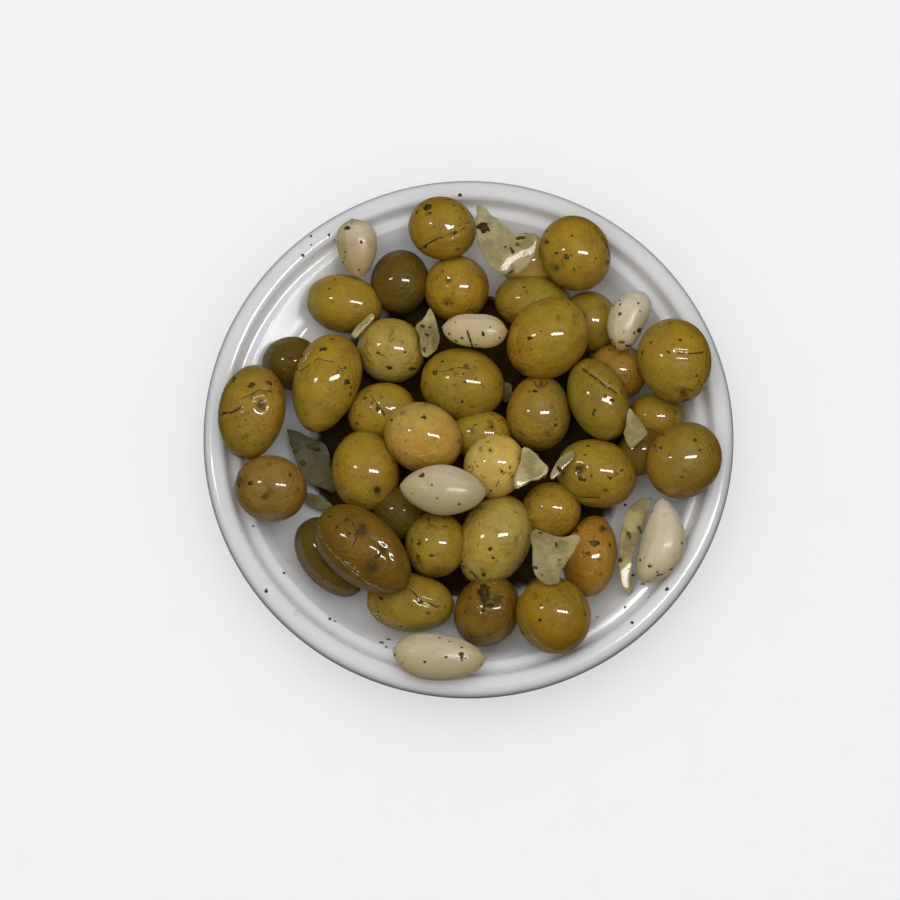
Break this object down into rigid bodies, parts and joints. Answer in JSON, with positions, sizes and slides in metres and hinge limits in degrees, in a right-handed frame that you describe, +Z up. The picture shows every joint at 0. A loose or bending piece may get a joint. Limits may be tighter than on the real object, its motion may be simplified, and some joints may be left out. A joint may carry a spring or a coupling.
{
  "type": "bowl of olives",
  "caption": "Shallow round white glazed dish with a rounded lip, heaped with marinated green olives, garlic cloves, onion pieces and herb flakes.",
  "frame": {"origin": "centre of the underside of the dish's foot ring", "axes": "+Z up, -Y towards the near side from which the dish was seen, +X to its right"},
  "size_m": [0.177, 0.177, 0.0422],
  "materials": {
    "white_glaze": "glossy white glaze",
    "olive_skin": "wet olive skin, yellow-green to brown, with dark herb flakes",
    "garlic_flesh": "wet pickled garlic, cream to beige",
    "onion_flesh": "wet, slightly clear onion, grey-green"
  },
  "bodies": {
    "root": {"dish": "white_glaze", "olives": "olive_skin", "garlic_far_left": "garlic_flesh", "garlic_far_right": "garlic_flesh", "garlic_middle_far": "garlic_flesh", "garlic_centre": "garlic_flesh", "garlic_right_near": "garlic_flesh", "garlic_near": "garlic_flesh", "onion_far": "onion_flesh", "onion_left_far": "onion_flesh", "onion_left_thin": "onion_flesh", "onion_left_large": "onion_flesh", "onion_left_shard": "onion_flesh", "onion_gap": "onion_flesh", "onion_centre": "onion_flesh", "onion_centre_strip": "onion_flesh", "onion_right_small": "onion_flesh", "onion_right_strip": "onion_flesh", "onion_near": "onion_flesh"}
  },
  "joints": []
}
